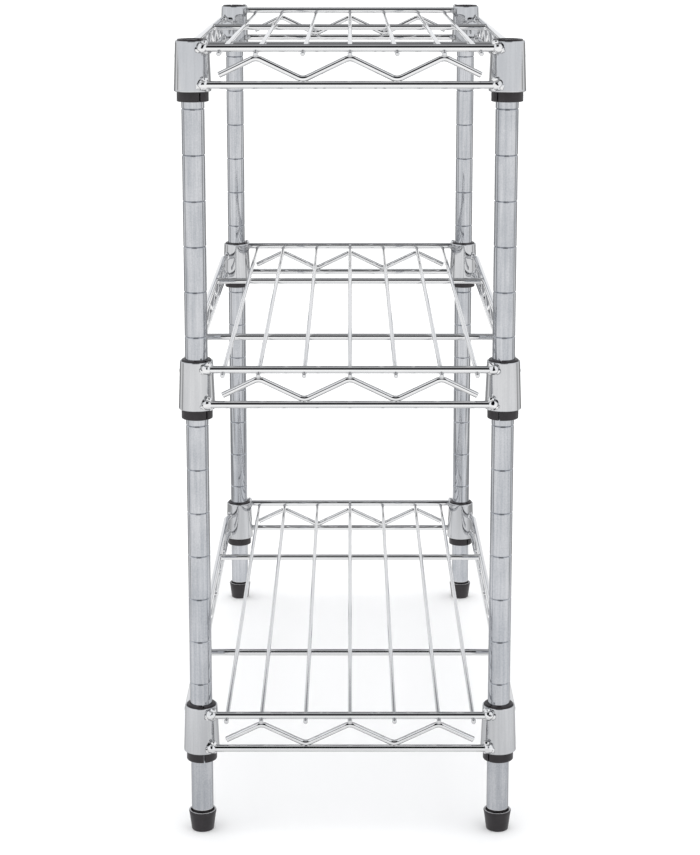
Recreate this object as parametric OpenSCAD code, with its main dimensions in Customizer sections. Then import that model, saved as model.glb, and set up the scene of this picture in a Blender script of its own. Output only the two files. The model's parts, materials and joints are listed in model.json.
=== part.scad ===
// Three-tier wire shelving rack.
// Four grooved tube posts carry three welded wire shelves. Each shelf drops by its tapered corner
// collars onto split plastic clips that grip a groove in the post. Four cup feet screw in and out.
// +X runs along the shelves, +Y across them and +Z up, with the floor at z = 0.

/* [Frame] */
// distance between post centres along the shelves
span_x = 641; // [400:1:1200]
// distance between post centres across the shelves
span_y = 258; // [200:1:600]

/* [Posts] */
// outside diameter of a post tube
post_d = 19.05; // [12:0.05:32]
// wall thickness of the tube
post_wall = 1.1; // [0.8:0.1:2]
// height of the tube's lower end above the floor
post_foot_z = 19.3; // [10:0.1:40]
// height of the tube's upper end above the floor
post_top_z = 685.6; // [400:0.1:1800]
// distance from one groove to the next
groove_pitch = 38.1; // [20:0.1:60]
// height of the lowest groove above the floor
first_groove_z = 97.3; // [50:0.1:200]
// number of grooves in a post
groove_count = 16; // [4:1:50]
// depth of a groove
groove_depth = 0.7; // [0.3:0.1:0.9]
// width of a groove at the tube's surface
groove_width = 2; // [1:0.1:4]

/* [Shelves] */
// groove that each shelf is clipped to, counted from the lowest
shelf_grooves = [0, 8, 15]; // [0:1:49]
// height of a collar's rim above the groove its clip grips
rim_above_groove = 17.5; // [10:0.1:30]
// diameter of the rails that frame a shelf
rail_d = 6.3; // [3:0.1:8]
// distance of the rails outward of the post centres
rail_out = 13.7; // [11:0.1:20]
// gap along a rail from its end to the post centre
rail_end_gap = 8.5; // [5:0.5:12]
// depth of the upper rails of the two ends below the collar rims
end_rail_drop = 5.3; // [3:0.1:10]
// depth of the lower rails below the collar rims
lower_rail_drop = 35.2; // [20:0.1:38]
// diameter of the long wires that form the shelf's surface
surface_d = 3.8; // [2:0.1:6]
// spacing of the middle five surface wires
surface_pitch = 38.3; // [15:0.1:60]
// distance of the outermost surface wires from the middle
surface_edge_y = 106.4; // [60:0.1:250]
// length of surface wire that shows past the end rail's centre
surface_tip = 4.5; // [2:0.1:10]
// diameter of the cross wires under the surface
cross_d = 6; // [3:0.1:8]
// distance of the cross wires from the middle
cross_x = 150.6; // [60:0.1:400]
// diameter of the zigzag wires
zigzag_d = 5; // [2:0.1:6]
// distance from one zigzag peak to the next
zigzag_pitch = 76.4; // [30:0.1:120]
// radius of the zigzag's bends, at the wire's centre
bend_r = 9; // [4:0.5:12]
// peaks in each long side's zigzag
side_peaks = 8; // [2:1:14]
// peaks in each end's zigzag
end_peaks = 3; // [1:1:6]
// sideways run of a zigzag's free end past its last peak
zigzag_tail = 30.2; // [10:0.1:60]
// how far two crossing wires sink into each other at a weld
weld_sink = 0.5; // [0:0.05:0.6]

/* [Collars and clips] */
// height of a collar
collar_h = 41.4; // [25:0.1:60]
// outside diameter of a collar at its rim
collar_top_d = 27.8; // [24:0.1:40]
// outside diameter of a collar at its lower edge
collar_bottom_d = 31; // [26:0.1:44]
// outside diameter of a clip at the collar's rim
clip_top_d = 24.6; // [22:0.1:36]
// outside diameter of a clip at the collar's lower edge
clip_bottom_d = 26.3; // [23:0.1:38]
// height of clip that shows above the collar
clip_above = 1.2; // [0.5:0.1:5]
// height of clip that shows below the collar
clip_below = 8.2; // [2:0.1:12]
// angle of the gap between the two halves of a clip
clip_gap_angle = 6; // [2:0.5:15]
// radial clearance between a clip and its collar
taper_clearance = 0.08; // [0.01:0.01:0.1]

/* [Feet] */
// height of a foot cup
foot_h = 18; // [10:0.1:30]
// outside diameter of a foot cup at its rim
foot_top_d = 24; // [21:0.1:40]
// diameter of a foot cup where it meets the floor
foot_base_d = 19.2; // [15:0.1:36]
// diameter of the foot's screw
stem_d = 8; // [5:0.5:10]
// length of screw that stands above the cup's floor
stem_h = 23; // [15:0.5:40]

/* [Hidden] */
$fn = 72;
CHROME = [0.78, 0.79, 0.81];
BLACK = [0.09, 0.08, 0.09];
ZINC = [0.62, 0.63, 0.65];

// each corner: side of the middle along X and along Y, and its name
CORNERS = [[1, -1, "front_right"], [1, 1, "back_right"], [-1, 1, "back_left"], [-1, -1, "front_left"]];
SHELVES = ["bottom", "middle", "top"];
// pieces that each shelf has one node of
SHELF_PARTS = ["end_rails", "side_rails", "end_zigzags", "side_zigzags", "cross_wires", "surface_wires"];
// turn of each clip's gap about its post, by shelf and then by corner
CLIP_TURNS = [[14, -42, 35, 70], [42, -18, 115, 50], [30, -41, 80, 20]];

post_r = post_d / 2;
bore_r = post_r - post_wall;
rail_r = rail_d / 2;
zigzag_r = zigzag_d / 2;
running_gap = 0.05;
elbow_swell = 0.05;
elbow_overlap = 0.2;

// depths of the wires below the collar rims, each hanging from the one before; the cross wires
// butt against the upper side rails
surface_drop = end_rail_drop + rail_r + surface_d / 2 - weld_sink;
cross_drop = surface_drop + surface_d / 2 + cross_d / 2 - weld_sink;
side_rail_drop = cross_drop;
valley_drop = lower_rail_drop - rail_r - zigzag_r + weld_sink;
end_peak_drop = surface_drop + surface_d / 2 + zigzag_r - weld_sink;
side_peak_drop = side_rail_drop + rail_r + zigzag_r - weld_sink;

end_rail_x = span_x / 2 + rail_out;
side_rail_y = span_y / 2 + rail_out;

clip_h = clip_below + collar_h + clip_above;
clip_slope = (clip_bottom_d - clip_top_d) / 2 / collar_h;
clip_bore_r = post_r + running_gap;

cup_floor_z = foot_h - 3.5;
cup_socket_z = 2.5;
insert_flange_h = 1.2;
insert_h = 24;

function rim_z(level) = first_groove_z + groove_pitch * shelf_grooves[level] + rim_above_groove;

// rise that rounding a bend of half angle a takes off its corner
function bend_loss(a) = bend_r * (1 / cos(a) - 1);
// slope of a zigzag's legs for a rise between bend tops, by repeated substitution
function leg_slope(rise, a, passes) =
    passes == 0 ? a
    : leg_slope(rise, atan((rise + 2 * bend_loss(a)) / (zigzag_pitch / 2)), passes - 1);

module at_corner(c) {
    translate([c[0] * span_x / 2, c[1] * span_y / 2, 0]) children();
}

// straight bar along +Z from the origin, with both ends chamfered
module bar(length, d, chamfer) {
    r = d / 2;
    rotate_extrude()
        polygon([
            [0, 0], [r - chamfer, 0], [r, chamfer],
            [r, length - chamfer], [r - chamfer, length], [0, length]]);
}

// straight bar centred on the origin along +X
module bar_x(length, d, chamfer) {
    translate([-length / 2, 0, 0]) rotate([0, 90, 0]) bar(length, d, chamfer);
}

// grooved tube with its lower end rolled inward
module post() {
    lip = 1;
    outline = [for (i = [0 : groove_count - 1])
        for (p = [[0, -0.5], [groove_depth, -0.2], [groove_depth, 0.2], [0, 0.5]])
            [post_r - p[0], first_groove_z + i * groove_pitch + p[1] * groove_width]];
    foot_edge = [for (a = [-90 : 30 : 0]) [post_r - lip + lip * cos(a), post_foot_z + lip + lip * sin(a)]];
    color(CHROME)
        rotate_extrude()
            polygon(concat(
                [[bore_r, post_foot_z]],
                foot_edge,
                outline,
                [[post_r, post_top_z - 0.2], [post_r - 0.2, post_top_z], [bore_r, post_top_z]]));
}

// plug that closes the top of a tube, with a low domed head over the tube's end
module post_cap() {
    stalk_h = 14;
    stalk_r = bore_r - running_gap;
    head_r = post_r - 0.05;
    head_edge = 0.4;
    dome_h = 0.4;
    head_z = post_top_z + 1;
    color(BLACK)
        rotate_extrude()
            polygon([
                [0, post_top_z - stalk_h], [stalk_r - 1, post_top_z - stalk_h],
                [stalk_r, post_top_z - stalk_h + 1], [stalk_r, post_top_z],
                [head_r, post_top_z], [head_r, head_z - head_edge], [head_r - head_edge, head_z],
                [head_r / 2, head_z + dome_h * 0.75], [0, head_z + dome_h]]);
}

// one half of a split clip, with the inner ridge that sits in a groove; z = 0 is its lower edge
module clip_half() {
    ridge_z = clip_below + collar_h - rim_above_groove;
    ridge_depth = groove_depth - 0.15;
    taper_z = clip_below;
    top_r = clip_top_d / 2 - clip_slope * clip_above;
    edge = 0.6;
    rotate([0, 0, clip_gap_angle / 2])
        rotate_extrude(angle = 180 - clip_gap_angle)
            polygon([
                [clip_bore_r, 0], [clip_bottom_d / 2 - edge, 0], [clip_bottom_d / 2, edge],
                [clip_bottom_d / 2, taper_z], [top_r, clip_h - edge / 2], [top_r - edge / 2, clip_h],
                [clip_bore_r, clip_h], [clip_bore_r, ridge_z + 0.6],
                [clip_bore_r - ridge_depth, ridge_z + 0.2], [clip_bore_r - ridge_depth, ridge_z - 0.2],
                [clip_bore_r, ridge_z - 0.6]]);
}

// the two halves of a clip around a post
module clip(level, turn) {
    color(BLACK)
        translate([0, 0, rim_z(level) - collar_h - clip_below])
            for (half = [0, 180]) rotate([0, 0, turn + half]) clip_half();
}

// tapered sleeve that a shelf hangs from, rounded at its lower edge
module collar(level) {
    top_z = rim_z(level);
    low_z = top_z - collar_h;
    inner_top_r = clip_top_d / 2 + taper_clearance;
    inner_low_r = clip_bottom_d / 2 + taper_clearance;
    round_r = 0.8;
    round_x = collar_bottom_d / 2 - round_r;
    low_edge = [for (a = [0 : 30 : 90]) [round_x + round_r * sin(a), low_z + round_r * (1 - cos(a))]];
    color(CHROME)
        rotate_extrude()
            polygon(concat(
                [[inner_low_r, low_z]],
                low_edge,
                [[collar_top_d / 2, top_z - 0.4], [collar_top_d / 2 - 0.4, top_z], [inner_top_r, top_z]]));
}

// rail along +X between two collars, with a weld bead at each end
module rail(span) {
    length = span - 2 * rail_end_gap;
    bead_r = rail_r + 0.7;
    bead_out = 0.3;
    bead_back = 1.5;
    bar_x(length, rail_d, 0.5);
    for (s = [-1, 1]) translate([s * (length / 2 - bead_back), bead_out, 0]) sphere(r = bead_r);
}

module end_rails(level) {
    color(CHROME)
        for (s = [-1, 1], drop = [end_rail_drop, lower_rail_drop])
            translate([s * end_rail_x, 0, rim_z(level) - drop]) rotate([0, 0, -90 * s]) rail(span_y);
}

module side_rails(level) {
    color(CHROME)
        for (s = [-1, 1], drop = [side_rail_drop, lower_rail_drop])
            translate([0, s * side_rail_y, rim_z(level) - drop]) rotate([0, 0, s < 0 ? 180 : 0]) rail(span_x);
}

// bend of a zigzag: an arc of wire below its corner, a hair fatter than the legs it joins
module elbow(slope) {
    rotate([90, 0, 0])
        translate([0, -bend_r / cos(slope), 0])
            rotate([0, 0, 90 - slope])
                rotate_extrude(angle = 2 * slope) translate([bend_r, 0]) circle(r = zigzag_r + elbow_swell);
}

// zigzag wire along X; its bend tops are at peak_z and its bend bottoms at valley_z
module zigzag(peaks, peak_z, valley_z) {
    half = zigzag_pitch / 2;
    slope = leg_slope(peak_z - valley_z, atan((peak_z - valley_z) / half), 8);
    corner_z = peak_z + bend_loss(slope);
    corner_rise = half * tan(slope);
    trim = bend_r * tan(slope) - elbow_overlap;
    leg = half / cos(slope) - 2 * trim;
    tail = zigzag_tail / cos(slope) - trim;
    for (i = [0 : peaks - 1]) translate([(i - (peaks - 1) / 2) * zigzag_pitch, 0, corner_z]) {
        elbow(slope);
        for (s = [-1, 1]) {
            last = i == (s < 0 ? 0 : peaks - 1);
            rotate([0, s * (90 + slope), 0]) translate([0, 0, trim]) bar(last ? tail : leg, zigzag_d, 0.3);
        }
        if (i < peaks - 1) translate([half, 0, -corner_rise]) mirror([0, 0, 1]) elbow(slope);
    }
}

module end_zigzags(level) {
    color(CHROME)
        for (s = [-1, 1])
            translate([s * end_rail_x, 0, rim_z(level)])
                rotate([0, 0, 90]) zigzag(end_peaks, -end_peak_drop, -valley_drop);
}

module side_zigzags(level) {
    color(CHROME)
        for (s = [-1, 1])
            translate([0, s * side_rail_y, rim_z(level)])
                zigzag(side_peaks, -side_peak_drop, -valley_drop);
}

module cross_wires(level) {
    length = 2 * (side_rail_y - 1.5);
    color(CHROME)
        for (s = [-1, 1])
            translate([s * cross_x, 0, rim_z(level) - cross_drop])
                rotate([0, 0, 90]) bar_x(length, cross_d, 0.6);
}

module surface_wires(level) {
    length = 2 * (end_rail_x + surface_tip);
    ys = concat([for (i = [-2 : 2]) i * surface_pitch], [-surface_edge_y, surface_edge_y]);
    color(CHROME)
        for (y = ys) translate([0, y, rim_z(level) - surface_drop]) bar_x(length, surface_d, 0.6);
}

// plastic bush in the lower end of a tube that the foot's screw turns in
module foot_insert() {
    flange_z = post_foot_z - insert_flange_h;
    screw_r = stem_d / 2 + 0.08;
    color(BLACK)
        rotate_extrude()
            polygon([
                [screw_r, flange_z], [post_r - 0.4, flange_z], [post_r - 0.4, post_foot_z],
                [bore_r - running_gap, post_foot_z], [bore_r - running_gap, flange_z + insert_h - 1],
                [bore_r - 0.8, flange_z + insert_h], [screw_r, flange_z + insert_h]]);
}

// tapered cup that hides the end of a tube, with a socket for the screw's head
module foot() {
    base_edge = 0.8;
    wall = 0.9;
    taper = (foot_top_d - foot_base_d) / 2 / foot_h;
    base_r = foot_base_d / 2;
    color(BLACK)
        rotate_extrude()
            polygon([
                [0, 0], [base_r - base_edge, 0], [base_r + taper * base_edge, base_edge],
                [foot_top_d / 2, foot_h - 0.4], [foot_top_d / 2 - 0.4, foot_h],
                [foot_top_d / 2 - wall, foot_h],
                [base_r + taper * cup_floor_z - wall, cup_floor_z], [stem_d / 2, cup_floor_z],
                [stem_d / 2, cup_socket_z], [0, cup_socket_z]]);
}

// screw that carries a foot
module foot_stem() {
    color(ZINC) translate([0, 0, cup_socket_z]) bar(cup_floor_z - cup_socket_z + stem_h, stem_d, 0.8);
}

for (c = CORNERS) {
    at_corner(c) post();
    at_corner(c) post_cap();  // post_caps
    at_corner(c) foot_insert();  // foot_inserts
    at_corner(c) foot();
    at_corner(c) foot_stem();
}
for (i = [0 : 2], k = [0 : 3]) {
    corner = CORNERS[k];
    turn = CLIP_TURNS[i][k];
    at_corner(corner) clip(i, turn);
    at_corner(corner) collar(i);
}
for (i = [0 : 2]) {
    end_rails(i);
    side_rails(i);
    end_zigzags(i);
    side_zigzags(i);
    cross_wires(i);
    surface_wires(i);
}
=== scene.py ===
import json
import math

import bpy
import bmesh
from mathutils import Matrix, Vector, noise

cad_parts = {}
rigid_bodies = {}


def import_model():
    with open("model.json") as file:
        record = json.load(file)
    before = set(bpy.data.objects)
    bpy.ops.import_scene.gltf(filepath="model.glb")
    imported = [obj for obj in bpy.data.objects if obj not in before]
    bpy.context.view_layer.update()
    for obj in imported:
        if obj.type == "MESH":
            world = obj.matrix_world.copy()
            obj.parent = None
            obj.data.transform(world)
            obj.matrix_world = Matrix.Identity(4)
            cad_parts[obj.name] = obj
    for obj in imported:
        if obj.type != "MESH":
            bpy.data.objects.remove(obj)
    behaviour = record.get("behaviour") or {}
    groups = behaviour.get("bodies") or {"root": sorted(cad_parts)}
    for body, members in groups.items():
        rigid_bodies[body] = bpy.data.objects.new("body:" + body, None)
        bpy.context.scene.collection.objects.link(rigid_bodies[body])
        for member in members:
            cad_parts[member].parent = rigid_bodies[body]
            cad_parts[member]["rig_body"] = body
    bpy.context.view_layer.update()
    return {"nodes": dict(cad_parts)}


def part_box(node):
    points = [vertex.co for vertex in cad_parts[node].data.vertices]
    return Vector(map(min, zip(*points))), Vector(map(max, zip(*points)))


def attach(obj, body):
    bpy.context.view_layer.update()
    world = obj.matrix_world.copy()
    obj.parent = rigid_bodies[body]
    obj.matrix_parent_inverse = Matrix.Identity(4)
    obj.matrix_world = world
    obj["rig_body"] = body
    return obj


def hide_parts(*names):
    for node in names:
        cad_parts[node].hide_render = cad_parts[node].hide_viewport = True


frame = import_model()

MM = 0.001
CORNERS = ("front_right", "back_right", "back_left", "front_left")
SHELVES = ("bottom", "middle", "top")

# sizes that the boxes of the frame's nodes don't give
POST_R = 9.525 * MM
POST_WALL = 1.1 * MM
GROOVE_PITCH = 38.1 * MM
FIRST_GROOVE_Z = 97.3 * MM
GROOVE_COUNT = 16
GROOVE_DEPTH = 0.7 * MM
GROOVE_HALF = 1.0 * MM
RIM_ABOVE_GROOVE = 17.5 * MM
RAIL_R = 3.15 * MM
END_RAIL_DROP = 5.3 * MM
LOWER_RAIL_DROP = 35.2 * MM
RAIL_END_GAP = 8.5 * MM
RAIL_OUT = 13.7 * MM
SURFACE_R = 1.9 * MM
SURFACE_YS = [y * MM for y in (-106.4, -76.6, -38.3, 0.0, 38.3, 76.6, 106.4)]
SURFACE_TIP = 4.5 * MM
CROSS_R = 3.0 * MM
CROSS_X = 150.6 * MM
ZIGZAG_R = 2.5 * MM
ZIGZAG_PITCH = 76.4 * MM
ZIGZAG_TAIL = 30.2 * MM
BEND_R = 9.0 * MM
SIDE_PEAKS = 8
END_PEAKS = 3
WELD_SINK = 0.5 * MM
COLLAR_H = 41.4 * MM
COLLAR_TOP_R = 13.9 * MM
COLLAR_LOW_R = 15.5 * MM
CLIP_TOP_R = 12.3 * MM
CLIP_LOW_R = 13.15 * MM
CLIP_ABOVE = 1.2 * MM
CLIP_BELOW = 8.2 * MM
CLIP_GAP = 6.0
TAPER_CLEARANCE = 0.08 * MM
RUNNING_GAP = 0.05 * MM
FOOT_TOP_R = 12.0 * MM
FOOT_BASE_R = 9.6 * MM
STEM_R = 4.0 * MM
CUP_DEPTH = 3.5 * MM
RIDGE_DEPTH = 0.5 * MM
# turn of each clip's gap about its post, in degrees, in the order of CORNERS
CLIP_TURNS = {"bottom": (14, -42, 35, 70), "middle": (42, -18, 115, 50), "top": (30, -41, 80, 20)}

# half sizes of the small welds along x, y and z
PEAK_WELD = (2.0, 2.0, 0.8)
END_VALLEY_WELD = (1.9, 3.4, 0.9)
SIDE_VALLEY_WELD = (3.4, 1.9, 0.9)
RAIL_CONTACT_WELD = (2.2, 2.0, 0.9)
CROSS_CONTACT_WELD = (2.2, 2.0, 0.8)

# lumps of weld metal at a rail's end, in millimetres: place along the rail, outwards and upwards,
# half sizes, step of the seed, and unevenness
END_WELD = (
    ((0.9, 0.0, 0.0), (4.5, 4.6, 4.5), 0.0, 0.16),
    ((2.6, -0.4, 4.1), (2.7, 2.9, 2.6), 0.4, 0.25),
    ((-2.6, 0.3, -1.5), (2.4, 2.6, 2.7), 0.7, 0.3),
    ((3.4, -1.2, -2.9), (2.3, 2.3, 2.3), 0.9, 0.3),
)
SIDE_WELD = (
    ((2.6, -3.2, 0.0), (3.6, 3.4, 3.7), 0.0, 0.2),
    ((1.6, -3.4, 3.2), (2.2, 2.0, 2.2), 0.4, 0.3),
)

# the pinched end of a side rail, in millimetres: distance from its end, inward set, and radius
TUCKED_END = (
    (0.0, 1.9, 2.2),
    (0.4, 1.9, 2.5),
    (7.0, 1.9, 2.6),
    (10.0, 1.5, 2.75),
    (13.0, 0.6, 3.0),
    (16.0, 0.0, 3.15),
    (18.0, 0.0, 3.15),
)

# the camera, in metres, millimetres of lens and degrees
CAMERA_PLACE = (2.0619, 0.0, 0.7891)
CAMERA_PITCH = 11.03
CAMERA_LENS = 89.2
CAMERA_SENSOR = 36.0
CAMERA_SHIFT = -0.12

UP = Vector((0.0, 0.0, 1.0))
SHARP_ANGLE = 38.0

# depths of the wires below the collar rims
SURFACE_DROP = END_RAIL_DROP + RAIL_R + SURFACE_R - WELD_SINK
CROSS_DROP = SURFACE_DROP + SURFACE_R + CROSS_R - WELD_SINK
SIDE_RAIL_DROP = CROSS_DROP
VALLEY_DROP = LOWER_RAIL_DROP - RAIL_R - ZIGZAG_R + WELD_SINK
END_PEAK_DROP = SURFACE_DROP + SURFACE_R + ZIGZAG_R - WELD_SINK
SIDE_PEAK_DROP = SIDE_RAIL_DROP + RAIL_R + ZIGZAG_R - WELD_SINK


def post_centre(corner):
    """The middle of a post, on the floor."""
    low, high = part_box("post_" + corner)
    middle = (low + high) / 2
    return Vector((middle.x, middle.y, 0.0))


POSTS = {corner: post_centre(corner) for corner in CORNERS}
SPAN_X = POSTS["front_right"].x - POSTS["front_left"].x
SPAN_Y = POSTS["back_right"].y - POSTS["front_right"].y
END_RAIL_X = SPAN_X / 2 + RAIL_OUT
SIDE_RAIL_Y = SPAN_Y / 2 + RAIL_OUT


def rim_z(shelf):
    """The height of a shelf's collar rims."""
    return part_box(shelf + "_collar_front_right")[1].z


# ---------------------------------------------------------------- camera

camera_data = bpy.data.cameras.new("camera")
camera_data.sensor_width = CAMERA_SENSOR
camera_data.lens = CAMERA_LENS
camera_data.shift_y = CAMERA_SHIFT
camera_data.clip_start = 0.05
camera_data.clip_end = 100.0
camera = bpy.data.objects.new("camera", camera_data)
camera.location = CAMERA_PLACE
camera.rotation_euler = (math.radians(90.0 - CAMERA_PITCH), 0.0, math.radians(90.0))
bpy.context.scene.collection.objects.link(camera)
bpy.context.scene.camera = camera

# ---------------------------------------------------------------- materials


class Graph:
    """Short calls for making the nodes of one material or world."""

    def __init__(self, owner):
        owner.use_nodes = True
        self.tree = owner.node_tree
        self.tree.nodes.clear()

    def node(self, kind):
        return self.tree.nodes.new(kind)

    def coordinates(self, output):
        return self.node("ShaderNodeTexCoord").outputs[output]

    def parts(self, vector):
        """The x, y and z of a vector."""
        made = self.node("ShaderNodeSeparateXYZ")
        self.link(vector, made.inputs["Vector"])
        return made.outputs["X"], made.outputs["Y"], made.outputs["Z"]

    def link(self, source, target):
        self.tree.links.new(source, target)

    def noise(self, vector, scale, detail=3.0, roughness=0.5):
        made = self.node("ShaderNodeTexNoise")
        made.inputs["Scale"].default_value = scale
        made.inputs["Detail"].default_value = detail
        made.inputs["Roughness"].default_value = roughness
        self.link(vector, made.inputs["Vector"])
        return made.outputs["Fac"]

    def stretch(self, vector, scale):
        made = self.node("ShaderNodeMapping")
        made.inputs["Scale"].default_value = scale
        self.link(vector, made.inputs["Vector"])
        return made.outputs["Vector"]

    def remap(self, value, low, high, to_low, to_high, smooth=False):
        made = self.node("ShaderNodeMapRange")
        if smooth:
            made.interpolation_type = "SMOOTHSTEP"
        made.inputs["From Min"].default_value = low
        made.inputs["From Max"].default_value = high
        made.inputs["To Min"].default_value = to_low
        made.inputs["To Max"].default_value = to_high
        self.link(value, made.inputs["Value"])
        return made.outputs["Result"]

    def rise(self, value, low, high):
        """A soft step from 0 at low to 1 at high."""
        return self.remap(value, low, high, 0.0, 1.0, True)

    def fall(self, value, low, high):
        """A soft step from 1 at low to 0 at high."""
        return self.remap(value, low, high, 1.0, 0.0, True)

    def math(self, operation, first, second=0.0):
        made = self.node("ShaderNodeMath")
        made.operation = operation
        for socket, value in zip(made.inputs, (first, second)):
            if isinstance(value, (int, float)):
                socket.default_value = value
            else:
                self.link(value, socket)
        return made.outputs["Value"]

    def times(self, first, second):
        return self.math("MULTIPLY", first, second)

    def blend(self, first, second, share):
        """A mix of two numbers, with this share of the second."""
        return self.math("ADD", self.times(first, 1.0 - share), self.times(second, share))

    def mix(self, factor, first, second):
        made = self.node("ShaderNodeMix")
        made.data_type = "RGBA"
        self.link(factor, made.inputs["Factor"])
        for name, value in (("A", first), ("B", second)):
            socket = [s for s in made.inputs if s.name == name and s.type == "RGBA"][0]
            if isinstance(value, tuple):
                socket.default_value = (*value, 1.0)
            else:
                self.link(value, socket)
        return [s for s in made.outputs if s.type == "RGBA"][0]

    def ramp(self, value, stops):
        """A grey level that follows stops of (place from -1 to 1, level)."""
        made = self.node("ShaderNodeValToRGB")
        points = made.color_ramp.elements
        while len(points) < len(stops):
            points.new(0.5)
        for point, (place, level) in zip(points, stops):
            point.position = (place + 1) / 2
            point.color = (level, level, level, 1.0)
        self.link(value, made.inputs["Fac"])
        return made.outputs["Color"]

    def bump(self, height, strength, distance):
        made = self.node("ShaderNodeBump")
        made.inputs["Strength"].default_value = strength
        made.inputs["Distance"].default_value = distance
        self.link(height, made.inputs["Height"])
        return made.outputs["Normal"]

    def surface(self, settings, links):
        shader = self.node("ShaderNodeBsdfPrincipled")
        for name, value in settings.items():
            shader.inputs[name].default_value = value
        for name, source in links.items():
            self.link(source, shader.inputs[name])
        out = self.node("ShaderNodeOutputMaterial")
        self.link(shader.outputs["BSDF"], out.inputs["Surface"])


def chrome(name, light, dark, rough, streaks, patchy, relief, edge):
    """Plated steel with drawn streaks, cloudy patches of tone, hazy spots and a fine grain.

    light and dark are the two tones, rough is the range of the haze, streaks is the scale of the
    streaks along each axis, patchy is their share of the tone, relief is the height of the streaks,
    and edge is the level of reflections at grazing angles.
    """
    material = bpy.data.materials.new(name)
    graph = Graph(material)
    place = graph.coordinates("Object")
    cloud = graph.blend(graph.noise(place, 30.0, 4.0), graph.noise(place, 700.0, 2.0), 0.4)
    streak = graph.noise(graph.stretch(place, streaks), 1.0, 4.0, 0.6)
    tone = graph.remap(graph.blend(cloud, streak, patchy), 0.4, 0.6, 0.0, 1.0)
    grain = graph.noise(place, 900.0, 2.0)
    height = graph.math("ADD", graph.times(streak, relief), graph.times(grain, relief * 0.3))
    haze = graph.remap(graph.noise(place, 60.0, 5.0, 0.65), 0.35, 0.75, rough[0], rough[1])
    graph.surface(
        {"Metallic": 1.0, "Specular Tint": (edge, edge, edge, 1.0)},
        {
            "Base Color": graph.mix(tone, dark, light),
            "Roughness": haze,
            "Normal": graph.bump(height, 0.35, 0.0001),
        },
    )
    material.diffuse_color = (*light, 1.0)
    return material


def plastic(name, light, dark, rough):
    """Moulded plastic: uneven tone, a fine leathery grain and scuffs that change its gloss."""
    material = bpy.data.materials.new(name)
    graph = Graph(material)
    place = graph.coordinates("Object")
    tone = graph.remap(graph.noise(place, 90.0, 5.0, 0.6), 0.35, 0.7, 0.0, 1.0)
    grain = graph.noise(place, 1600.0, 3.0)
    scuff = graph.noise(graph.stretch(place, (160.0, 160.0, 420.0)), 1.0, 5.0, 0.6)
    graph.surface(
        {"Specular IOR Level": 0.45},
        {
            "Base Color": graph.mix(tone, dark, light),
            "Roughness": graph.remap(scuff, 0.3, 0.75, rough[0], rough[1]),
            "Normal": graph.bump(grain, 0.25, 0.00015),
        },
    )
    material.diffuse_color = (*light, 1.0)
    return material


TUBE = chrome(
    "chrome_tube",
    light=(0.6, 0.61, 0.635),
    dark=(0.43, 0.448, 0.478),
    rough=(0.03, 0.08),
    streaks=(330.0, 330.0, 14.0),
    patchy=0.5,
    relief=0.3,
    edge=0.62,
)
# the rolled lower ends of the posts: near-white chrome, a painted highlight
TUBE_END_PAINTED_HIGHLIGHT = chrome(
    "chrome_tube_end_painted_highlight",
    light=(0.97, 0.97, 0.97),
    dark=(0.9, 0.9, 0.91),
    rough=(0.1, 0.2),
    streaks=(330.0, 330.0, 14.0),
    patchy=0.5,
    relief=0.3,
    edge=0.9,
)
# the wires along x and along y are one chrome: this darker copy is painted shade, and the lighter copy
# below is painted light
WIRE_X_PAINTED_SHADE = chrome(
    "chrome_wire_x_painted_shade",
    light=(0.72, 0.723, 0.73),
    dark=(0.66, 0.663, 0.672),
    rough=(0.04, 0.08),
    streaks=(5.0, 700.0, 700.0),
    patchy=0.5,
    relief=0.15,
    edge=1.0,
)
# the lighter copy of the wire chrome, for the wires along y: painted light
WIRE_Y_PAINTED_LIGHT = chrome(
    "chrome_wire_y_painted_light",
    light=(0.86, 0.86, 0.862),
    dark=(0.78, 0.781, 0.785),
    rough=(0.01, 0.03),
    streaks=(700.0, 5.0, 700.0),
    patchy=0.5,
    relief=0.1,
    edge=0.4,
)
COLLAR = chrome(
    "chrome_collar",
    light=(0.63, 0.636, 0.648),
    dark=(0.555, 0.562, 0.577),
    rough=(0.03, 0.07),
    streaks=(260.0, 260.0, 5.0),
    patchy=0.6,
    relief=0.3,
    edge=0.62,
)
ZINC = chrome(
    "zinc_screw",
    light=(0.55, 0.56, 0.57),
    dark=(0.42, 0.43, 0.45),
    rough=(0.28, 0.42),
    streaks=(160.0, 160.0, 900.0),
    patchy=0.5,
    relief=1.5,
    edge=0.8,
)
BLACK = plastic(
    "black_plastic_moulded",
    light=(0.024, 0.0195, 0.023),
    dark=(0.013, 0.0105, 0.0125),
    rough=(0.32, 0.5),
)
# light grey plastic on the top of the foot rims: a painted highlight
RIM_PAINTED_HIGHLIGHT = plastic(
    "black_plastic_rim_painted_highlight",
    light=(0.55, 0.55, 0.56),
    dark=(0.3, 0.3, 0.31),
    rough=(0.4, 0.55),
)

# ---------------------------------------------------------------- mesh building


def full_turn(count):
    """The angles of evenly spaced points round a circle."""
    return [2 * math.pi * k / count for k in range(count)]


def about(centre, radius, angle, z):
    """A point at this radius, angle and height from a centre."""
    return Vector(centre) + Vector((radius * math.cos(angle), radius * math.sin(angle), z))


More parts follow.
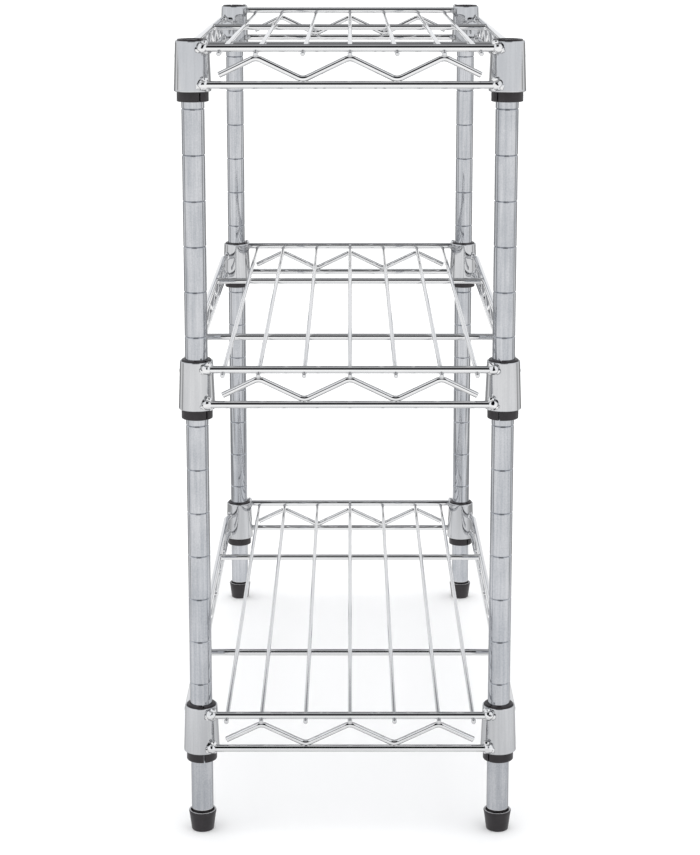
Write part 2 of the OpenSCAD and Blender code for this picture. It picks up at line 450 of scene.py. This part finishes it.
class Shell:
    """Closed surfaces gathered into one mesh."""

    def __init__(self):
        self.points = []
        self.faces = []
        self.second_faces = set()

    def rings(self, rings, wrap=False):
        """Joins rings of points, each with as many points, and closes the ends or joins them."""
        start = len(self.points)
        count = len(rings[0])
        for ring in rings:
            self.points.extend(ring)
        pairs = len(rings) if wrap else len(rings) - 1
        for i in range(pairs):
            a = start + i * count
            b = start + ((i + 1) % len(rings)) * count
            for k in range(count):
                n = (k + 1) % count
                self.faces.append((a + k, a + n, b + n, b + k))
        if not wrap:
            self.faces.append(tuple(range(start, start + count)))
            last = start + (len(rings) - 1) * count
            self.faces.append(tuple(range(last, last + count)))

    def lathe(self, centre, profile, count=72, wrap=True, second=(0, 0)):
        """Turns a profile of (radius, height) about a vertical line.

        The profile's spans from second[0] to second[1] take the second material.
        """
        first_face = len(self.faces)
        turns = full_turn(count)
        self.rings([[about(centre, r, t, z) for t in turns] for r, z in profile], wrap)
        start, end = (first_face + span * count for span in second)
        self.second_faces.update(range(start, end))

    def sweep(self, path, side, radii, count=24):
        """Carries a circle along a path that lies in the plane square to side."""
        turns = full_turn(count)
        rings = []
        for i, point in enumerate(path):
            before = path[max(i - 1, 0)]
            after = path[min(i + 1, len(path) - 1)]
            along = (after - before).normalized()
            up = along.cross(side)
            circle = [math.cos(t) * side + math.sin(t) * up for t in turns]
            rings.append([point + radii[i] * ray for ray in circle])
        self.rings(rings)

    def rod(self, start, end, radius, edge=0.5 * MM, flare=0.0, count=24):
        """A straight wire with rounded ends, or with ends that spread into a weld."""
        along = (end - start).normalized()
        length = (end - start).length
        if flare:
            spread = ((0.0, 1.0), (0.5, 1.0), (1.1, 0.45), (1.9, 0.12), (2.8, 0.0))
            steps = [(back * MM, flare * share) for back, share in spread]
        else:
            angles = (0.0, 0.4, 0.8, 1.2, math.pi / 2)
            steps = [(edge * (1 - math.cos(a)), edge * (math.sin(a) - 1)) for a in angles]
        near = [(offset, radius + extra) for offset, extra in steps]
        far = [(length - offset, r) for offset, r in reversed(near)]
        stations = near + far
        self.sweep([start + along * s for s, _ in stations], UP, [r for _, r in stations], count)

    def blob(self, centre, size, seed, lumps=0.14, rows=14, count=22):
        """A lump of weld metal: an ellipsoid with half sizes in millimetres and an uneven surface."""
        turns = full_turn(count)
        shift = Vector((seed * 3.1, seed * 1.7, seed * 0.9))
        half = Vector(size) * MM
        rings = []
        for i in range(1, rows):
            a = math.pi * i / rows - math.pi / 2
            ring = []
            for t in turns:
                ray = Vector((math.cos(a) * math.cos(t), math.cos(a) * math.sin(t), math.sin(a)))
                swell = 1.0 + lumps * noise.noise(ray * 1.7 + shift)
                ring.append(centre + ray * half * swell)
            rings.append(ring)
        self.rings(rings)

    def spot(self, centre, size, seed, lumps):
        """A small weld where two wires cross."""
        self.blob(centre, size, seed, lumps, rows=8, count=14)

    def piece(self, node, material, second=None):
        """Makes the object that stands for a CAD node and rides on its body."""
        mesh = bpy.data.meshes.new(node + ".look")
        mesh.from_pydata([tuple(p) for p in self.points], [], self.faces)
        work = bmesh.new()
        work.from_mesh(mesh)
        bmesh.ops.recalc_face_normals(work, faces=work.faces)
        work.to_mesh(mesh)
        work.free()
        mesh.shade_smooth()
        mesh.set_sharp_from_angle(angle=math.radians(SHARP_ANGLE))
        mesh.materials.append(material)
        if second:
            mesh.materials.append(second)
            for index in self.second_faces:
                mesh.polygons[index].material_index = 1
        made = bpy.data.objects.new(node + ".look", mesh)
        bpy.context.scene.collection.objects.link(made)
        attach(made, frame["nodes"][node]["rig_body"])
        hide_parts(node)


def arc(radius, middle, start, end, steps):
    """Points of (radius, height) on an arc, with angles in degrees."""
    points = []
    for i in range(steps + 1):
        a = math.radians(start + (end - start) * i / steps)
        points.append((middle[0] + radius * math.cos(a), middle[1] + radius * math.sin(a)))
    return points


# ---------------------------------------------------------------- posts, caps and feet


def groove(z):
    """A rolled groove: a rounded dip with soft shoulders, between rings that keep the tube straight."""
    steps = 6
    inner = GROOVE_HALF + 0.2 * MM
    outer = GROOVE_HALF + 0.6 * MM
    points = [(POST_R, z - outer), (POST_R, z - inner)]
    for i in range(-steps, steps + 1):
        t = i / steps
        dip = (0.5 + 0.5 * math.cos(math.pi * t)) ** 2.0
        points.append((POST_R - GROOVE_DEPTH * dip, z + GROOVE_HALF * t))
    points += [(POST_R, z + inner), (POST_R, z + outer)]
    return points


def make_post(corner):
    """A grooved tube with a rolled lower end, whose near-white chrome is a painted highlight, brighter than
    the rest.
    """
    node = "post_" + corner
    low, high = (p.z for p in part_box(node))
    bore = POST_R - POST_WALL
    lip = 1.0 * MM
    edge = 0.2 * MM
    shell = Shell()
    profile = [(bore, low + edge), (bore + edge / 2, low)]
    lip_start = len(profile)
    profile += arc(lip, (POST_R - lip, low + lip), -88, 0, 8)
    for i in range(GROOVE_COUNT):
        profile += groove(FIRST_GROOVE_Z + i * GROOVE_PITCH)
    profile += arc(edge, (POST_R - edge, high - edge), 0, 90, 3)
    profile += [(bore, high)]
    # the rolled lip takes the near-white chrome of the painted highlight
    shell.lathe(POSTS[corner], profile, second=(lip_start + 2, lip_start + 8))
    shell.piece(node, TUBE, second=TUBE_END_PAINTED_HIGHLIGHT)


def make_caps():
    """Domed plugs in the tube tops. The middle of each is closed by a very small flat."""
    low, high = (p.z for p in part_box("post_caps"))
    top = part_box("post_front_right")[1].z
    stalk = POST_R - POST_WALL - RUNNING_GAP
    head = POST_R - RUNNING_GAP
    flat = 0.3 * MM
    lead = 1.2 * MM
    edge = 0.5 * MM
    shell = Shell()
    for corner in CORNERS:
        profile = [(flat, low), (stalk - lead, low), (stalk, low + lead)]
        profile += [(stalk, top), (head, top)]
        profile += arc(edge, (head - edge, high - 0.9 * MM), 0, 80, 4)
        profile += [(head * 0.66, high - 0.18 * MM), (head * 0.33, high - 0.05 * MM), (flat, high)]
        shell.lathe(POSTS[corner], profile, wrap=False)
    shell.piece("post_caps", BLACK)


def make_foot(corner):
    """A tapered cup on a screw, with a light grey painted highlight on its rim and a floor inside."""
    node = "foot_" + corner
    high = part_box(node)[1].z
    taper = (FOOT_TOP_R - FOOT_BASE_R) / high
    edge = 1.0 * MM
    wall = 1.9 * MM
    rim = wall / 2
    inside = 0.8 * MM
    stem = STEM_R + 0.02 * MM
    stem_z = 2.5 * MM
    floor_z = high - CUP_DEPTH
    shell = Shell()
    profile = [(STEM_R * 0.5, 0.0)]
    profile += arc(edge, (FOOT_BASE_R - edge + taper * edge, edge), -90, 0, 5)
    profile += [(FOOT_BASE_R + taper * high * f, high * f) for f in (0.25, 0.5, 0.75)]
    rim_start = len(profile)
    profile += arc(rim, (FOOT_TOP_R - rim, high - rim), 0, 180, 10)
    profile += arc(inside, (FOOT_TOP_R - wall - inside, floor_z + inside), 0, -90, 4)
    profile += [(stem, floor_z), (stem, stem_z), (STEM_R * 0.5, stem_z)]
    # the top of the rim takes the light grey painted highlight
    shell.lathe(POSTS[corner], profile, second=(rim_start + 3, rim_start + 9))
    shell.piece(node, BLACK, second=RIM_PAINTED_HIGHLIGHT)


# ---------------------------------------------------------------- clips and collars


def make_clip(shelf, corner):
    """Two half rings that grip the post, with rounded edges and a ridge in one groove."""
    node = f"{shelf}_clip_{corner}"
    turn = CLIP_TURNS[shelf][CORNERS.index(corner)]
    low = rim_z(shelf) - COLLAR_H - CLIP_BELOW
    height = CLIP_BELOW + COLLAR_H + CLIP_ABOVE
    slope = (CLIP_LOW_R - CLIP_TOP_R) / COLLAR_H
    bore = POST_R + RUNNING_GAP
    ridge = CLIP_BELOW + COLLAR_H - RIM_ABOVE_GROOVE
    edge = 0.7 * MM
    top_edge = 0.5 * MM
    top_r = CLIP_TOP_R - slope * CLIP_ABOVE
    profile = [(bore, 0.15 * MM), (bore + 0.15 * MM, 0.0)]
    profile += arc(edge, (CLIP_LOW_R - edge, edge), -88, 0, 5)
    profile += [(CLIP_LOW_R, CLIP_BELOW)]
    profile += arc(top_edge, (top_r - top_edge, height - top_edge), 0, 90, 4)
    profile += [(bore, height)]
    profile += [(bore, ridge + 0.6 * MM), (bore - RIDGE_DEPTH, ridge + 0.2 * MM)]
    profile += [(bore - RIDGE_DEPTH, ridge - 0.2 * MM), (bore, ridge - 0.6 * MM)]
    shell = Shell()
    steps = 40
    for half in (0.0, 180.0):
        start = turn + half + CLIP_GAP / 2
        angles = [math.radians(start + (180.0 - CLIP_GAP) * i / steps) for i in range(steps + 1)]
        shell.rings([[about(POSTS[corner], r, a, low + z) for r, z in profile] for a in angles])
    shell.piece(node, BLACK)


def make_collar(shelf, corner):
    """A tapered sleeve with a rolled rim and a rounded lower edge."""
    node = f"{shelf}_collar_{corner}"
    low, high = (p.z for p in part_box(node))
    inner_top = CLIP_TOP_R + TAPER_CLEARANCE
    inner_low = CLIP_LOW_R + TAPER_CLEARANCE
    rim = (COLLAR_TOP_R - inner_top) / 2
    foot = 1.0 * MM
    edge = 0.2 * MM
    profile = [(inner_low, low + edge), (inner_low + edge, low)]
    profile += arc(foot, (COLLAR_LOW_R - foot, low + foot), -90, 0, 7)
    # rings near the rounded edges keep the wall between them straight
    taper = COLLAR_LOW_R - COLLAR_TOP_R
    for height in (1.4, 2.0, 39.4, 40.0):
        profile.append((COLLAR_LOW_R - taper * height * MM / COLLAR_H, low + height * MM))
    profile += arc(rim, (COLLAR_TOP_R - rim, high - rim), 0, 180, 12)
    shell = Shell()
    shell.lathe(POSTS[corner], profile, count=96)
    shell.piece(node, COLLAR)


# ---------------------------------------------------------------- wires


def directions(ends, s):
    """The directions out of and along one end, or one long side, of a shelf."""
    if ends:
        return Vector((s, 0, 0)), Vector((0, 1, 0))
    return Vector((0, s, 0)), Vector((1, 0, 0))


def weld(shell, end, along, out, lumps, seed):
    """Weld metal that wraps the end of a rail on to its collar."""
    for (forward, outward, upward), size, seed_step, unevenness in lumps:
        centre = end + along * forward * MM + out * outward * MM + UP * upward * MM
        shell.blob(centre, size, seed + seed_step, unevenness)


def tucked_rail(shell, middle, run, out, half):
    """A long rail with ends that are pinched and set in against the collars."""
    path = []
    for way, bend in ((-1, TUCKED_END), (1, tuple(reversed(TUCKED_END)))):
        for back, inward, _ in bend:
            path.append(middle + run * way * (half - back * MM) - out * inward * MM)
    radii = [radius * MM for _, _, radius in TUCKED_END]
    shell.sweep(path, UP, radii + radii[::-1])


def make_rails(shelf, kind):
    """The upper and lower rails of the two ends, or of the two long sides."""
    shell = Shell()
    rim = rim_z(shelf)
    ends = kind == "end_rails"
    half = (SPAN_Y if ends else SPAN_X) / 2 - RAIL_END_GAP
    place = END_RAIL_X if ends else SIDE_RAIL_Y
    upper = END_RAIL_DROP if ends else SIDE_RAIL_DROP
    lumps = END_WELD if ends else SIDE_WELD
    seed = SHELVES.index(shelf) * 7.3
    for s in (-1, 1):
        out, run = directions(ends, s)
        for drop in (upper, LOWER_RAIL_DROP):
            middle = out * place + Vector((0, 0, rim - drop))
            if ends:
                shell.rod(middle - run * half, middle + run * half, RAIL_R)
            else:
                tucked_rail(shell, middle, run, out, half)
            for t in (-1, 1):
                seed += 1.0
                weld(shell, middle + run * half * t, -run * t, out, lumps, seed)
    shell.piece(f"{shelf}_{kind}", WIRE_Y_PAINTED_LIGHT if ends else WIRE_X_PAINTED_SHADE)


def zigzag_path(peaks, peak_z, valley_z, run, origin):
    """A zigzag's centreline: straight legs joined by arcs, with free ends that stop between the rails."""
    half = ZIGZAG_PITCH / 2
    rise = peak_z - valley_z
    # the arcs cut the corners off, so the legs are steeper than the peaks and valleys alone would say
    slope = math.atan(rise / half)
    for _ in range(8):
        loss = BEND_R * (1 / math.cos(slope) - 1)
        slope = math.atan((rise + 2 * loss) / half)
    loss = BEND_R * (1 / math.cos(slope) - 1)
    corner_z = peak_z + loss
    points = []

    def add(along, z):
        points.append(origin + run * along + Vector((0, 0, z)))

    first = -(peaks - 1) / 2 * ZIGZAG_PITCH
    add(first - ZIGZAG_TAIL, corner_z - ZIGZAG_TAIL * math.tan(slope))
    bends = []
    for i in range(peaks):
        bends.append((first + i * ZIGZAG_PITCH, corner_z - BEND_R / math.cos(slope), 1))
        if i < peaks - 1:
            bends.append((first + (i + 0.5) * ZIGZAG_PITCH, valley_z - loss + BEND_R / math.cos(slope), -1))
    steps = 12
    for along, z, way in bends:
        for k in range(steps + 1):
            a = -slope + 2 * slope * k / steps
            add(along + BEND_R * math.sin(a), z + way * BEND_R * math.cos(a))
    add(-first + ZIGZAG_TAIL, corner_z - ZIGZAG_TAIL * math.tan(slope))
    return points


def make_zigzags(shelf, kind):
    """The zigzag wires of the two ends, or of the two long sides, with a weld at each bend."""
    shell = Shell()
    rim = rim_z(shelf)
    ends = kind == "end_zigzags"
    peaks = END_PEAKS if ends else SIDE_PEAKS
    peak = -(END_PEAK_DROP if ends else SIDE_PEAK_DROP)
    place = END_RAIL_X if ends else SIDE_RAIL_Y
    valley_weld = END_VALLEY_WELD if ends else SIDE_VALLEY_WELD
    tip = 0.35 * MM
    peak_weld_z = peak + ZIGZAG_R - WELD_SINK / 2
    valley_weld_z = -VALLEY_DROP - ZIGZAG_R + WELD_SINK / 2
    for s in (-1, 1):
        out, run = directions(ends, s)
        origin = out * place + Vector((0, 0, rim))
        path = zigzag_path(peaks, peak, -VALLEY_DROP, run, origin)
        start = path[0] + (path[1] - path[0]).normalized() * tip
        end = path[-1] + (path[-2] - path[-1]).normalized() * tip
        path = [path[0], start] + path[1:-1] + [end, path[-1]]
        radii = [ZIGZAG_R - tip] + [ZIGZAG_R] * (len(path) - 2) + [ZIGZAG_R - tip]
        shell.sweep(path, out, radii)
        seed = 11.0 * SHELVES.index(shelf) + s
        for i in range(peaks):
            along = (i - (peaks - 1) / 2) * ZIGZAG_PITCH
            top = origin + run * along + Vector((0, 0, peak_weld_z))
            shell.spot(top, PEAK_WELD, seed + i, 0.15)
            if i < peaks - 1:
                low = origin + run * (along + ZIGZAG_PITCH / 2) + Vector((0, 0, valley_weld_z))
                shell.spot(low, valley_weld, seed + i + 0.5, 0.15)
    shell.piece(f"{shelf}_{kind}", WIRE_Y_PAINTED_LIGHT if ends else WIRE_X_PAINTED_SHADE)


def make_cross_wires(shelf):
    """The two wires under the surface, which spread into the side rails."""
    shell = Shell()
    z = rim_z(shelf) - CROSS_DROP
    reach = SIDE_RAIL_Y - 1.5 * MM
    for s in (-1, 1):
        start = Vector((s * CROSS_X, -reach, z))
        end = Vector((s * CROSS_X, reach, z))
        shell.rod(start, end, CROSS_R, flare=0.5 * MM)
    shell.piece(f"{shelf}_cross_wires", WIRE_Y_PAINTED_LIGHT)


def make_surface_wires(shelf):
    """The long wires of the shelf's surface, with a weld at each rail and each cross wire."""
    shell = Shell()
    z = rim_z(shelf) - SURFACE_DROP
    reach = END_RAIL_X + SURFACE_TIP
    weld_offset = SURFACE_R - WELD_SINK / 2
    for i, y in enumerate(SURFACE_YS):
        start = Vector((-reach, y, z))
        end = Vector((reach, y, z))
        shell.rod(start, end, SURFACE_R, edge=0.9 * MM, count=20)
        for s in (-1, 1):
            on_rail = Vector((s * END_RAIL_X, y, z + weld_offset))
            shell.spot(on_rail, RAIL_CONTACT_WELD, i + s * 0.4, 0.2)
            on_cross_wire = Vector((s * CROSS_X, y, z - weld_offset))
            shell.spot(on_cross_wire, CROSS_CONTACT_WELD, i + s * 0.6, 0.2)
    shell.piece(f"{shelf}_surface_wires", WIRE_X_PAINTED_SHADE)


for corner in CORNERS:
    make_post(corner)
    make_foot(corner)
make_caps()
for shelf in SHELVES:
    for corner in CORNERS:
        make_clip(shelf, corner)
        make_collar(shelf, corner)
    make_rails(shelf, "end_rails")
    make_rails(shelf, "side_rails")
    make_zigzags(shelf, "end_zigzags")
    make_zigzags(shelf, "side_zigzags")
    make_cross_wires(shelf)
    make_surface_wires(shelf)

# the inner pieces keep their CAD shapes
for name, node in frame["nodes"].items():
    if name == "foot_inserts" or name.startswith("foot_stem_"):
        node.data.materials.clear()
        node.data.materials.append(BLACK if name == "foot_inserts" else ZINC)

# ---------------------------------------------------------------- studio

bpy.context.scene.view_settings.view_transform = "Standard"

FLOOR_HALF = 30.0
# the painted strips of light and shade that the chrome sees on the floor lie round this point, near the
# rack's near end
FLOOR_MIDDLE_X = 0.32
# their levels, from the far side (-1) to the near side (1)
FLOOR_PAINTED_STRIPS = (
    (-0.94, 0.85),
    (-0.87, 0.38),
    (-0.62, 0.38),
    (-0.55, 0.84),
    (-0.36, 0.84),
    (-0.28, 0.42),
    (-0.12, 0.42),
    (-0.04, 0.84),
    (0.5, 0.88),
    (1.0, 0.9),
)


def make_floor_material():
    """Pale paper, which for the chrome glows with painted brighter and darker strips and a painted shade
    near the rack, instead of showing its own tone.
    """
    material = bpy.data.materials.new("floor_paper")
    graph = Graph(material)
    place = graph.coordinates("Object")

    tone = graph.remap(graph.noise(place, 1.5, 3.0), 0.3, 0.7, 0.0, 1.0)
    paper = graph.node("ShaderNodeBsdfPrincipled")
    paper.inputs["Roughness"].default_value = 0.9
    paper.inputs["Specular IOR Level"].default_value = 0.1
    graph.link(graph.mix(tone, (0.9, 0.902, 0.905), (0.92, 0.92, 0.92)), paper.inputs["Base Color"])

    x, y, _ = graph.parts(place)
    x = graph.math("SUBTRACT", x, FLOOR_MIDDLE_X)
    distance = graph.math("SQRT", graph.math("ADD", graph.times(x, x), graph.times(y, y)))
    turn = graph.math("DIVIDE", x, distance)
    painted_strips = graph.ramp(graph.remap(turn, -1.0, 1.0, 0.0, 1.0), FLOOR_PAINTED_STRIPS)
    # painted shade: the glow that the chrome sees is dimmer near the rack, and plain grey there instead of
    # striped
    shade = graph.remap(distance, 0.15, 0.6, 0.82, 1.0, True)
    painted_glow = graph.node("ShaderNodeEmission")
    near_to_far = graph.rise(distance, 0.5, 0.95)
    graph.link(graph.mix(near_to_far, (0.84, 0.845, 0.855), painted_strips), painted_glow.inputs["Color"])
    graph.link(graph.times(shade, 1.2), painted_glow.inputs["Strength"])

    # glossy rays see the painted glow, all other rays see the paper
    choice = graph.node("ShaderNodeMixShader")
    rays = graph.node("ShaderNodeLightPath")
    graph.link(rays.outputs["Is Glossy Ray"], choice.inputs["Fac"])
    graph.link(paper.outputs["BSDF"], choice.inputs[1])
    graph.link(painted_glow.outputs["Emission"], choice.inputs[2])
    out = graph.node("ShaderNodeOutputMaterial")
    graph.link(choice.outputs["Shader"], out.inputs["Surface"])
    return material


def make_floor():
    mesh = bpy.data.meshes.new("floor")
    signs = ((-1, -1), (1, -1), (1, 1), (-1, 1))
    mesh.from_pydata([(x * FLOOR_HALF, y * FLOOR_HALF, 0.0) for x, y in signs], [], [(0, 1, 2, 3)])
    floor = bpy.data.objects.new("floor", mesh)
    bpy.context.scene.collection.objects.link(floor)
    mesh.materials.append(make_floor_material())


def lamp(name, kind, location, energy, **values):
    """A lamp that lights the scene and doesn't show in the chrome."""
    data = bpy.data.lights.new(name, kind)
    data.energy = energy
    for key, value in values.items():
        setattr(data, key, value)
    made = bpy.data.objects.new(name, data)
    made.location = location
    made.visible_glossy = False
    bpy.context.scene.collection.objects.link(made)


def elevation(degrees):
    """The z of a direction this far above the horizon."""
    return math.sin(math.radians(degrees))


def make_world():
    """A pale room with the darker and brighter places that the chrome mirrors."""
    world = bpy.data.worlds.new("studio")
    bpy.context.scene.world = world
    sky = Graph(world)
    ahead, side, height = sky.parts(sky.coordinates("Generated"))
    aside = sky.math("ABSOLUTE", side)

    # the dark room on the near side, in the middle of the view from the rack
    above_low = sky.rise(height, elevation(8.0), elevation(12.0))
    below_high = sky.fall(height, elevation(60.0), elevation(67.0))
    in_front = sky.times(sky.rise(ahead, 0.05, 0.4), sky.fall(aside, 0.355, 0.4))
    dark = sky.times(sky.times(above_low, below_high), in_front)

    # the dim room on the far side, and the lit backdrop low in the middle of it
    dim = sky.times(sky.fall(ahead, -0.12, 0.08), sky.fall(aside, 0.4, 0.6))
    lit_low = sky.fall(height, elevation(24.0), elevation(30.0))
    lit = sky.times(lit_low, sky.fall(ahead, -0.9, -0.8))

    ceiling = sky.times(sky.rise(height, 0.6, 0.85), sky.fall(aside, 0.33, 0.38))

    air = sky.mix(ceiling, (0.92, 0.935, 0.96), (0.44, 0.445, 0.455))
    air = sky.mix(dim, air, (0.26, 0.265, 0.28))
    air = sky.mix(lit, air, (0.95, 0.96, 0.98))
    air = sky.mix(dark, air, (0.004, 0.004, 0.005))

    # matt surfaces are lit by an even grey, and the camera sees plain white
    rays = sky.node("ShaderNodeLightPath")
    air = sky.mix(rays.outputs["Is Diffuse Ray"], air, (0.55, 0.555, 0.565))
    air = sky.mix(rays.outputs["Is Camera Ray"], air, (1.0, 1.0, 1.0))
    background = sky.node("ShaderNodeBackground")
    sky.link(air, background.inputs["Color"])
    out = sky.node("ShaderNodeOutputWorld")
    sky.link(background.outputs["Background"], out.inputs["Surface"])


make_floor()
lamp("sky_fill", "SUN", (0.0, 0.0, 4.0), 2.3, angle=math.radians(120.0))
lamp("overhead", "AREA", (0.1, 0.0, 2.6), 6.0, shape="DISK", size=2.4)
make_world()
